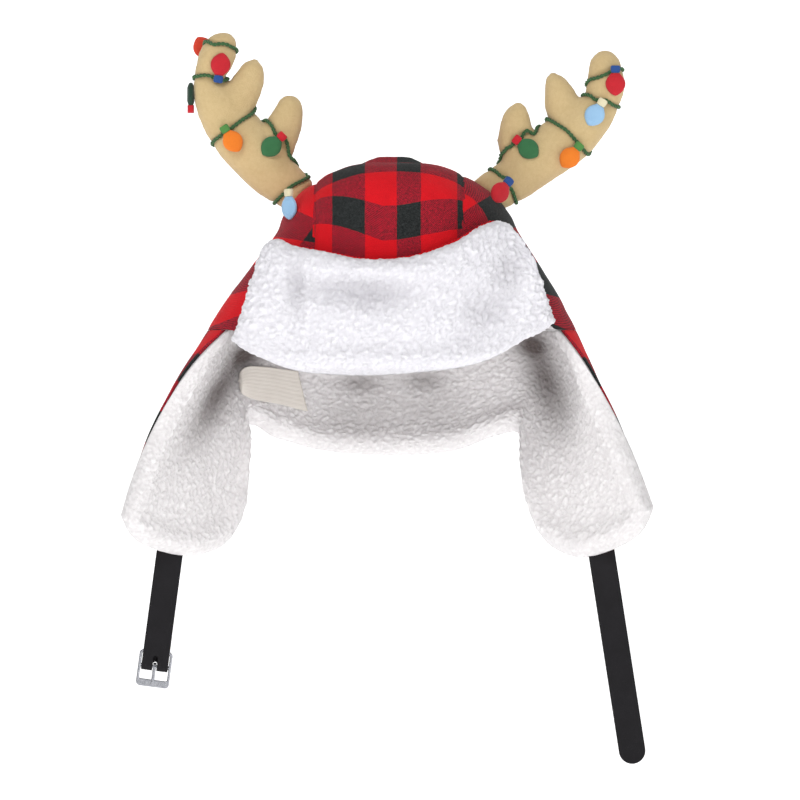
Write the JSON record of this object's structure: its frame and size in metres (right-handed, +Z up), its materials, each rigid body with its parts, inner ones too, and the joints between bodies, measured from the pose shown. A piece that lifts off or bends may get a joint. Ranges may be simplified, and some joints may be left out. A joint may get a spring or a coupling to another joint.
{
  "type": "reindeer antler hat",
  "caption": "Plaid trapper hat with a pile lining, turned-up brim, long ear flaps, chin straps and a pin buckle, topped by stuffed felt antlers wound with a cord of felt bulbs.",
  "frame": {"origin": "the inner top of the crown's lining, where the hat sits on a head", "axes": "+Z up, -Y the hat's front, +X to the right of someone who faces the hat"},
  "size_m": [0.399, 0.1894, 0.5488],
  "materials": {
    "plaid": "brushed twill in a red and black buffalo check",
    "pile": "curly white pile",
    "satin": "ribbed satin tape",
    "tan_felt": "brushed felt",
    "green_cord": "spun yarn",
    "red_felt": "felt",
    "orange_red_felt": "felt",
    "orange_felt": "felt",
    "green_felt": "felt",
    "dark_green_felt": "felt",
    "leaf_felt": "felt",
    "pale_blue_felt": "felt",
    "blue_felt": "felt",
    "cream_felt": "felt",
    "black_strap": "smooth bound webbing",
    "silver": "polished"
  },
  "bodies": {
    "hat": {"crown_shell": "plaid", "crown_lining": "pile", "curtain_shell": "plaid", "curtain_lining": "pile", "brim_backing": "plaid", "brim_pile": "pile", "inside_tab": "satin", "antler_left": "tan_felt", "antler_right": "tan_felt", "antler_cord_left": "green_cord", "antler_cord_right": "green_cord", "bulb_left_1": "orange_red_felt", "bulb_left_1_cap": "blue_felt", "bulb_left_2": "red_felt", "bulb_left_2_cap": "blue_felt", "bulb_left_3": "dark_green_felt", "bulb_left_3_cap": "red_felt", "bulb_left_4": "orange_felt", "bulb_left_4_cap": "leaf_felt", "bulb_left_5": "green_felt", "bulb_left_5_cap": "red_felt", "bulb_left_6": "pale_blue_felt", "bulb_left_6_cap": "cream_felt", "bulb_right_1": "red_felt", "bulb_right_1_cap": "blue_felt", "bulb_right_2": "green_felt", "bulb_right_2_cap": "red_felt", "bulb_right_3": "orange_felt", "bulb_right_3_cap": "leaf_felt", "bulb_right_4": "pale_blue_felt", "bulb_right_4_cap": "cream_felt", "bulb_right_5": "red_felt", "bulb_right_5_cap": "blue_felt", "strap_left": "black_strap", "strap_right": "black_strap", "buckle_frame": "silver"},
    "prong": {"buckle_prong": "silver"}
  },
  "joints": [
    {"name": "prong_hinge", "type": "hinge", "parent": "hat", "child": "prong", "pos_m": [-0.178, -0.001, -0.36625], "axis": [-0.9912, 0, 0.1323], "range_deg": [0, 120]}
  ]
}
